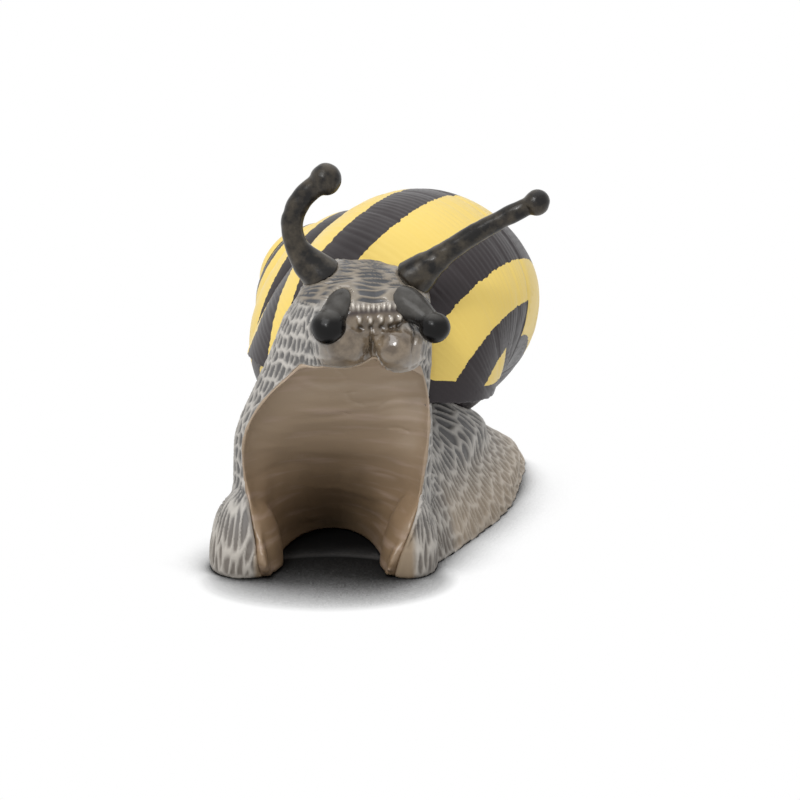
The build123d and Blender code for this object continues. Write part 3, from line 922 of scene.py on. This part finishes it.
class Paint:
    """A material with short ways to add its nodes."""

    def __init__(self, name):
        self.material = bpy.data.materials.new(name)
        self.material.use_nodes = True
        self.nodes = self.material.node_tree.nodes
        self.links = self.material.node_tree.links
        self.shader = self.nodes["Principled BSDF"]

    def node(self, kind, **settings):
        """A new node with these settings."""
        made = self.nodes.new(kind)
        for name, value in settings.items():
            setattr(made, name, value)
        return made

    def link(self, source, target):
        """A wire from an output to an input."""
        self.links.new(source, target)

    def set_or_link(self, value, socket):
        """A plain value is written on the socket, and an output is wired to it."""
        if isinstance(value, (int, float, tuple)):
            socket.default_value = value
        else:
            self.link(value, socket)

    def number(self, name):
        """A number that was kept on each vertex."""
        return self.node("ShaderNodeAttribute", attribute_name=name).outputs["Fac"]

    def place(self):
        """The object's own coordinates, in metres."""
        return self.node("ShaderNodeTexCoord").outputs["Object"]

    def stretched(self, vector, scale):
        """Coordinates scaled by their own share along each axis."""
        made = self.node("ShaderNodeMapping")
        made.inputs["Scale"].default_value = scale
        self.link(vector, made.inputs["Vector"])
        return made.outputs["Vector"]

    def noise(self, vector, scale, detail=3.0, rough=0.55):
        """Soft noise from 0 to 1."""
        made = self.node("ShaderNodeTexNoise")
        made.inputs["Scale"].default_value = scale
        made.inputs["Detail"].default_value = detail
        made.inputs["Roughness"].default_value = rough
        self.link(vector, made.inputs["Vector"])
        return made.outputs["Fac"]

    def ramp(self, value, stops, constant=False):
        """Colours or greys along a value."""
        made = self.node("ShaderNodeValToRGB")
        ramp = made.color_ramp
        ramp.interpolation = "CONSTANT" if constant else "LINEAR"
        while len(ramp.elements) < len(stops):
            ramp.elements.new(1.0)
        for element, (position, colour) in zip(ramp.elements, stops):
            element.position = position
            element.color = colour if isinstance(colour, tuple) else (colour, colour, colour, 1.0)
        self.link(value, made.inputs["Fac"])
        return made.outputs["Color"]

    def maths(self, operation, *values):
        """One sum on numbers or outputs."""
        made = self.node("ShaderNodeMath", operation=operation)
        for socket, value in zip(made.inputs, values):
            self.set_or_link(value, socket)
        return made.outputs["Value"]

    def mix(self, factor, low, high, blend="MIX"):
        """Two colours mixed by a factor."""
        made = self.node("ShaderNodeMix", data_type="RGBA", blend_type=blend)
        for socket, value in ((made.inputs[0], factor), (made.inputs[6], low), (made.inputs[7], high)):
            self.set_or_link(value, socket)
        return made.outputs[2]

    def bump(self, height, distance, strength=1.0):
        """Fine relief, in metres."""
        made = self.node("ShaderNodeBump")
        made.inputs["Distance"].default_value = distance
        made.inputs["Strength"].default_value = strength
        self.link(height, made.inputs["Height"])
        self.link(made.outputs["Normal"], self.shader.inputs["Normal"])

    def finish(self, pieces, **sockets):
        """Fills the shader's sockets and gives the material to the pieces."""
        for name, value in sockets.items():
            self.set_or_link(value, self.shader.inputs[name.replace("_", " ")])
        for piece in pieces:
            piece.data.materials.clear()
            piece.data.materials.append(self.material)
        print(self.material.name, "has", len(self.nodes), "nodes")


# %% [markdown]
# The shell's bands run along the tube, so they are painted by the angle round it, which the UV map
# holds. Each band starts at its own angle. Noise that is drawn out along the growth lines makes the
# edges ragged, as a brush on ribs does.

# %% Where the shell's bands lie
YELLOW, PALE, DARK = srgb(246, 214, 108), srgb(242, 226, 178), srgb(42, 35, 38)
RAGGED_STRETCH, RAGGED_EDGE = (170.0, 3.0, 1.0), 0.05
BANDS = [
    (-pi, YELLOW), (-0.74, DARK), (-0.32, YELLOW), (0.10, DARK), (0.56, YELLOW), (0.98, DARK),
]
LIP_BANDS = [(-pi, YELLOW), (-1.77, DARK), (-1.32, YELLOW)]
BACK_BANDS = BANDS[:5] + [(1.35, DARK)]
OLD_BANDS = [(-pi, YELLOW), (-0.86, DARK), (-0.58, YELLOW)] + BACK_BANDS[3:]
paint = Paint("banded_shell")
parts = paint.node("ShaderNodeSeparateXYZ")
spiral = paint.node("ShaderNodeUVMap", uv_map="spiral").outputs["UV"]
paint.link(spiral, parts.inputs[0])
turns, around = parts.outputs["X"], parts.outputs["Y"]
ragged = paint.noise(paint.stretched(spiral, RAGGED_STRETCH), 1.0, 2.0)
edge = paint.maths("MULTIPLY_ADD", ragged, RAGGED_EDGE, -RAGGED_EDGE / 2)
position = paint.maths("MULTIPLY_ADD", paint.maths("ADD", around, edge), 1 / (2 * pi), 0.5)


def ramp_place(angle):
    """Where an angle round the tube lies on a ramp, from 0 to 1."""
    return (angle + pi) / (2 * pi)


def banded(place, bands):
    """The colours of the bands at a place round the tube."""
    return paint.ramp(place, [(ramp_place(angle), colour) for angle, colour in bands], constant=True)


print("bands start at", [angle for angle, _ in BANDS[1:]], "radians round the tube")

# %% [markdown]
# The bands aren't quite steady. Close to the mouth the dark band above the tube's widest line drifts
# towards that line, and another one from nearer the axis joins it. Behind the deepest growth groove the
# lowest band is narrower, and on the oldest turns all of them wander.

# %% Bands that drift
NEAR_LIP, DEEP_GROOVE, OLDEST = -20, -76, -260
MAIN_DRIFT, SIDE_DRIFT = (-5, 22.5, 0.40), (-20, 22.5, 0.78)
OLD_SHIFTS = [
    (-1800, 0.22), (-1000, 0.22), (-760, -0.29), (-660, -0.29), (-560, 0.0), (-375, 0.0), (-328, 0.22),
]
OLD_START = -1800
LIFT = 0.3


def drifted(first_turn, last_turn, shift):
    """The place round the tube, less a shift that grows between two growth angles."""
    grown = paint.node("ShaderNodeMapRange")
    grown.inputs["From Min"].default_value = first_turn / 360
    grown.inputs["From Max"].default_value = last_turn / 360
    grown.inputs["To Max"].default_value = shift / (2 * pi)
    paint.link(turns, grown.inputs["Value"])
    return paint.maths("SUBTRACT", position, grown.outputs["Result"])


def below(value, limit):
    """1 where a value is below a limit, and otherwise 0."""
    return paint.maths("LESS_THAN", value, limit)


def above(value, limit):
    """1 where a value is above a limit, and otherwise 0."""
    return paint.maths("GREATER_THAN", value, limit)


def both(first, second):
    """1 where two such answers are both 1."""
    return paint.maths("MULTIPLY", first, second)


main_bands = banded(drifted(*MAIN_DRIFT), BANDS)
side_band = banded(drifted(*SIDE_DRIFT), LIP_BANDS)
near_lip = paint.mix(1.0, main_bands, side_band, "DARKEN")
upper_side = both(above(turns, NEAR_LIP / 360), below(around, 0.0))
bands = paint.mix(upper_side, banded(position, BANDS), near_lip)
bands = paint.mix(below(turns, DEEP_GROOVE / 360), bands, banded(position, BACK_BANDS))
old_stops = [(1 - turn / OLD_START, move + LIFT) for turn, move in OLD_SHIFTS]
shift = paint.ramp(paint.maths("MULTIPLY_ADD", turns, -360 / OLD_START, 1.0), old_stops)
shift = paint.maths("MULTIPLY_ADD", shift, 1 / (2 * pi), -LIFT / (2 * pi))
old_position = paint.maths("SUBTRACT", position, shift)
bands = paint.mix(below(turns, OLDEST / 360), bands, banded(old_position, OLD_BANDS))
print("the oldest bands wander by up to", max(move for _, move in OLD_SHIFTS), "radians")

# %% [markdown]
# A yellow patch breaks the dark underside behind the mouth. The rim of the mouth is dark, with a ragged
# edge. The yellow itself is clouded with a paler one, as on real shells, and a thin gloss varnish lies
# over it all.

# %% Shell paint
PATCH_TURN, PATCH_FROM, PATCH_TO = -50, 1.345, 1.70
CLOUD_SCALE, CLOUD_SHARE = 60.0, 0.25
RIM_RAGGED, RIM_LIMIT = 0.3, 0.65
patch = both(above(turns, PATCH_TURN / 360), above(position, ramp_place(PATCH_FROM)))
patch = both(patch, below(position, ramp_place(PATCH_TO)))
bands = paint.mix(patch, bands, YELLOW)
cloud = paint.maths("MULTIPLY", paint.noise(paint.place(), CLOUD_SCALE), bands)
shade = paint.mix(paint.maths("MULTIPLY", cloud, CLOUD_SHARE), bands, PALE)
lip = above(paint.maths("MULTIPLY_ADD", ragged, RIM_RAGGED, paint.number("rim")), RIM_LIMIT)
colour = paint.mix(lip, shade, DARK)
paint.bump(ragged, 0.04 * MM, 0.6)
paint.finish(
    [shell], Base_Color=colour, Roughness=0.36, Specular_IOR_Level=0.27, Coat_Weight=0.1, Coat_Roughness=0.25
)

# %% [markdown]
# The skin has a pale vinyl for its ridges and a dark wash in its cells, both warmer low down, darker on
# the back and brownish on the crown. The face is bare of the wash: mottled lips, painted shade between
# the teeth and along the mouth's slit, painted highlights on the knobs and teeth, and wet with varnish.

# %% Skin paint
RIDGES = {"warm": srgb(208, 195, 178), "dark": srgb(178, 175, 170), "crown": srgb(146, 136, 122)}
HOLLOWS = {"warm": srgb(176, 160, 141), "dark": srgb(70, 70, 72), "crown": srgb(72, 73, 76)}
RIDGE, HOLLOW = srgb(196, 191, 184), srgb(112, 110, 108)
BARE, LIP_DARK, LIP_LIGHT = srgb(150, 132, 110), srgb(86, 72, 56), srgb(126, 111, 92)
# Colours of the painted shade between the teeth and along the mouth's slit, and of the painted highlights on
# the knobs and teeth.
MOUTH_SHADE_AND_GLINTS = {"painted_gap_shade": srgb(48, 38, 28), "painted_slit_shade": srgb(44, 24, 14), "painted_glint": srgb(226, 218, 206)}
WASH_START, WASH_BY_PIT, WASH_BY_PATCH, WASH_BY_GRAIN = -0.42, 1.1, 0.9, 0.4
DRY_ROUGHNESS, WET_GLOSS, WET_COAT = 0.5, 0.32, 0.7
paint = Paint("wrinkled_skin")


def shaded(base, colours):
    """A colour that turns into others where a vertex number says so, one after another."""
    for name, colour in colours.items():
        base = paint.mix(paint.number(name), base, colour)
    return base


patch = paint.noise(paint.place(), 220.0)
fine = paint.noise(paint.place(), 1500.0, 4.0, 0.65)
wash = paint.maths("MULTIPLY_ADD", paint.number("pit"), WASH_BY_PIT, WASH_START)
wash = paint.maths("MULTIPLY_ADD", patch, WASH_BY_PATCH, wash)
wash = paint.maths("ADD", wash, paint.maths("MULTIPLY_ADD", fine, WASH_BY_GRAIN, -WASH_BY_GRAIN / 2))
clean = paint.node("ShaderNodeClamp")
paint.link(wash, clean.inputs["Value"])
base = paint.mix(clean.outputs["Result"], shaded(RIDGE, RIDGES), shaded(HOLLOW, HOLLOWS))
mottle = paint.ramp(paint.noise(paint.place(), 500.0, 4.0), [(0.40, 0.0), (0.62, 1.0)])
base = shaded(base, {"sleek": BARE, "mouth": paint.mix(mottle, LIP_DARK, LIP_LIGHT)})
base = shaded(base, MOUTH_SHADE_AND_GLINTS)
rough = paint.maths("MULTIPLY_ADD", paint.number("wet"), -WET_GLOSS, DRY_ROUGHNESS)
wet = paint.maths("MULTIPLY", paint.number("wet"), WET_COAT)
paint.bump(fine, 0.06 * MM, 0.6)
paint.finish(
    [foot], Base_Color=base, Roughness=rough, Specular_IOR_Level=0.45, Coat_Weight=wet, Coat_Roughness=0.1
)

# %% [markdown]
# The sole is plain brownish vinyl without any wash, darker and browner towards the floor, with faint
# clouds and pale streaks that run level across it, and a half-gloss finish.

# %% Sole paint
STREAK_STRETCH = (110.0, 110.0, 900.0)
paint = Paint("smooth_sole")
cloud = paint.noise(paint.place(), 90.0)
fine = paint.noise(paint.place(), 900.0)
base = paint.mix(paint.number("low"), srgb(172, 153, 131), srgb(144, 121, 95))
base = paint.mix(paint.maths("MULTIPLY", cloud, 0.25), base, srgb(136, 110, 84))
level = paint.noise(paint.stretched(paint.place(), STREAK_STRETCH), 1.0, 2.0)
base = paint.mix(paint.ramp(level, [(0.52, 0.0), (0.72, 0.45)]), base, srgb(186, 164, 150))
paint.bump(fine, 0.04 * MM, 0.5)
paint.finish(
    [sole], Base_Color=base, Roughness=0.38, Specular_IOR_Level=0.5, Coat_Weight=0.2, Coat_Roughness=0.2
)

# %% [markdown]
# The long tentacles are painted nearly black, and the paint is rubbed thin in places, so that the brown
# vinyl shows through. Noise with a steep ramp gives such worn patches.

# %% Paint of the long tentacles
paint = Paint("dark_tentacle")
patch = paint.noise(paint.place(), 420.0, 4.0, 0.6)
fine = paint.noise(paint.place(), 1800.0, 3.0)
worn = paint.ramp(patch, [(0.42, 0.0), (0.68, 1.0)])
base = paint.mix(worn, srgb(20, 18, 17), srgb(84, 76, 64))
base = paint.mix(paint.maths("MULTIPLY", fine, 0.5), base, srgb(17, 15, 14))
paint.bump(fine, 0.05 * MM, 0.6)
paint.finish(
    tentacles[:2],
    Base_Color=base,
    Roughness=0.3,
    Specular_IOR_Level=0.25,
    Coat_Weight=0.1,
    Coat_Roughness=0.08,
)

# %% [markdown]
# The short feelers have grey stems and black, shiny tips. The height of a vertex tells the tip from the
# stem, which was kept on it as "tip".

# %% Paint of the short feelers
paint = Paint("wet_feeler")
patch = paint.noise(paint.place(), 600.0, 3.0)
stem = paint.mix(patch, srgb(42, 39, 36), srgb(98, 96, 93))
base = paint.mix(paint.number("tip"), stem, srgb(12, 11, 11))
paint.bump(patch, 0.12 * MM, 0.7)
paint.finish(
    tentacles[2:],
    Base_Color=base,
    Roughness=0.25,
    Specular_IOR_Level=0.15,
    Coat_Weight=0.1,
    Coat_Roughness=0.06,
)

# %% [markdown]
# ## Studio
# The figurine stands on a white floor that has no visible end. Light in such a studio comes from all
# round, so its shadows are soft and stay close. The floor's shadow is painted into its colour: it is
# painted dark where a place on it sees little of what surrounds it. It looks straight up for the painted
# contact shadow, and up and back for the deeper painted shadow in front of the hollow, which only counts
# in a round pool there.

# %% Floor
FLOOR_SIZE = 3.0
CONTACT_REACH, CAST_REACH = 12 * MM, 30 * MM
STRAIGHT_UP, TO_THE_BACK = (0.0, 0.0, 1.0), (-0.26, 0.81, 0.53)
SHADOW_POOL_PLACE, SHADOW_POOL_SIZE = (0.7 * MM, -37.6 * MM, 0.0), (15 * MM, 14 * MM, 1.0)
bpy.ops.mesh.primitive_plane_add(size=FLOOR_SIZE, location=(0, 0, 0))
floor = bpy.context.object
floor.name = "floor"
paint = Paint("white_floor")


def openness(distance, direction):
    """How much of the surroundings a place on the floor sees towards a direction, within a distance."""
    seen_sky = paint.node("ShaderNodeAmbientOcclusion", samples=8)
    seen_sky.inputs["Distance"].default_value = distance
    towards = paint.node("ShaderNodeCombineXYZ")
    for socket, value in zip(towards.inputs, direction):
        socket.default_value = value
    paint.link(towards.outputs["Vector"], seen_sky.inputs["Normal"])
    return seen_sky.outputs["AO"]


# A round pool in front of the hollow is the only place where the painted cast shadow counts.
shadow_pool = paint.node("ShaderNodeMapping", vector_type="TEXTURE")
shadow_pool.inputs["Location"].default_value = SHADOW_POOL_PLACE
shadow_pool.inputs["Rotation"].default_value = (0.0, 0.0, HEAD_TURN)
shadow_pool.inputs["Scale"].default_value = SHADOW_POOL_SIZE
paint.link(paint.place(), shadow_pool.inputs["Vector"])
away = paint.node("ShaderNodeVectorMath", operation="LENGTH")
paint.link(shadow_pool.outputs["Vector"], away.inputs[0])
beside = paint.ramp(paint.maths("MULTIPLY", away.outputs["Value"], 0.5), [(0.26, 0.0), (0.60, 1.0)])
cast = paint.maths("MAXIMUM", openness(CAST_REACH, TO_THE_BACK), beside)
open_sky = paint.maths("MINIMUM", openness(CONTACT_REACH, STRAIGHT_UP), cast)
# The floor's colour is a painted shadow: dark where the floor sees little of its surroundings.
painted_floor_shadow = paint.ramp(open_sky, [(0.35, 0.01), (0.75, 0.30), (0.92, 0.80)])
clear = paint.ramp(open_sky, [(0.55, 0.0), (0.85, 1.0)])

# %% [markdown]
# The floor shows two shaders, mixed by how open the place is: the floor's colour with its painted shadow
# near the figurine, and plain white light further away. The white is only for rays that are seen, from
# the camera, from a reflection or through glass, so that it adds no light to the figurine.

# %% The floor's white
SEEN_RAYS = ["Is Camera Ray", "Is Glossy Ray", "Is Transmission Ray"]
light_path = paint.node("ShaderNodeLightPath")
seen = light_path.outputs[SEEN_RAYS[0]]
for ray in SEEN_RAYS[1:]:
    seen = paint.maths("MAXIMUM", seen, light_path.outputs[ray])
glow = paint.node("ShaderNodeEmission")
blend = paint.node("ShaderNodeMixShader")
paint.link(paint.maths("MULTIPLY", seen, clear), blend.inputs[0])
paint.link(paint.shader.outputs[0], blend.inputs[1])
paint.link(glow.outputs[0], blend.inputs[2])
paint.link(blend.outputs[0], paint.nodes["Material Output"].inputs["Surface"])
paint.finish([floor], Base_Color=painted_floor_shadow, Roughness=0.9, Specular_IOR_Level=0.0)
floor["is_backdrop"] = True


# %% [markdown]
# Three lamps light the figurine: a large soft one overhead and a little behind, a smaller one in front
# at the left, and a tiny one near the camera that puts a glint on the wet parts.

# %% Lamps
def soft_lamp(name, place, target, size, watts):
    """A square lamp that looks at a target."""
    light = bpy.data.lights.new(name, "AREA")
    light.shape = "SQUARE"
    light.size = size
    light.energy = watts
    lamp = bpy.data.objects.new(name, light)
    aim = (Vector(target) - Vector(place)).to_track_quat("-Z", "Y")
    lamp.matrix_world = Matrix.Translation(place) @ aim.to_matrix().to_4x4()
    bpy.context.scene.collection.objects.link(lamp)
    print(name, "of", watts, "watts")


soft_lamp("top_lamp", (0.03, 0.10, 0.55), (0, -0.01, 0.02), 0.55, 0.55)
soft_lamp("front_lamp", (-0.10, -0.40, 0.42), (0, -0.02, 0.02), 0.30, 1.0)
soft_lamp("glint_lamp", (-0.02, -0.36, 0.30), (0, -0.03, 0.03), 0.06, 0.3)

# %% [markdown]
# The world is the white of the studio's walls. It lights the figurine at a little over half its
# strength, and only the rays that are seen find it fully white.

# %% World
WORLD_LIGHT, WORLD_WHITE = 0.58, 1.0
world = bpy.data.worlds.new("studio")
bpy.context.scene.world = world
world.use_nodes = True
nodes, links = world.node_tree.nodes, world.node_tree.links
path = nodes.new("ShaderNodeLightPath")
level = nodes.new("ShaderNodeMapRange")
level.inputs["To Min"].default_value = WORLD_LIGHT
level.inputs["To Max"].default_value = WORLD_WHITE
seen = path.outputs[SEEN_RAYS[0]]
for ray in SEEN_RAYS[1:]:
    either = nodes.new("ShaderNodeMath")
    either.operation = "MAXIMUM"
    links.new(seen, either.inputs[0])
    links.new(path.outputs[ray], either.inputs[1])
    seen = either.outputs["Value"]
links.new(seen, level.inputs["Value"])
links.new(level.outputs["Result"], nodes["Background"].inputs["Strength"])
nodes["Background"].inputs["Color"].default_value = (1.0, 1.0, 1.0, 1.0)

# %% [markdown]
# The camera stands where the photograph was most likely taken from: a little over 0.4 metres away, on
# the snail's left of its middle line, and 12 degrees above the floor, with a long lens.

# %% Camera
CAMERA_PLACE, CAMERA_LOOK = (0.1282, -0.4010, 0.1046), (-0.3023, 0.9303, -0.2079)
lens = bpy.data.cameras.new("camera")
lens.lens = 144.0
lens.sensor_width = 36.0
camera = bpy.data.objects.new("camera", lens)
bpy.context.scene.collection.objects.link(camera)
aim = Vector(CAMERA_LOOK).normalized().to_track_quat("-Z", "Y").to_matrix().to_4x4()
camera.matrix_world = Matrix.Translation(CAMERA_PLACE) @ aim
bpy.context.scene.camera = camera
bpy.context.scene.view_settings.view_transform = "Standard"
print("camera", round(Vector(CAMERA_PLACE).length, 3), "m from the origin")

# %% [markdown]
# Last, the box of the finished skins is measured, and how far it passes the solids' box is printed, so
# that anyone can check that the skins have stayed inside the solids' size.

# %% Sizes and finish
low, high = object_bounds()
past = [round((b - a) / MM, 2) for a, b in zip(cad_high, high)]
print("visual model larger than the solids by", past, "mm")
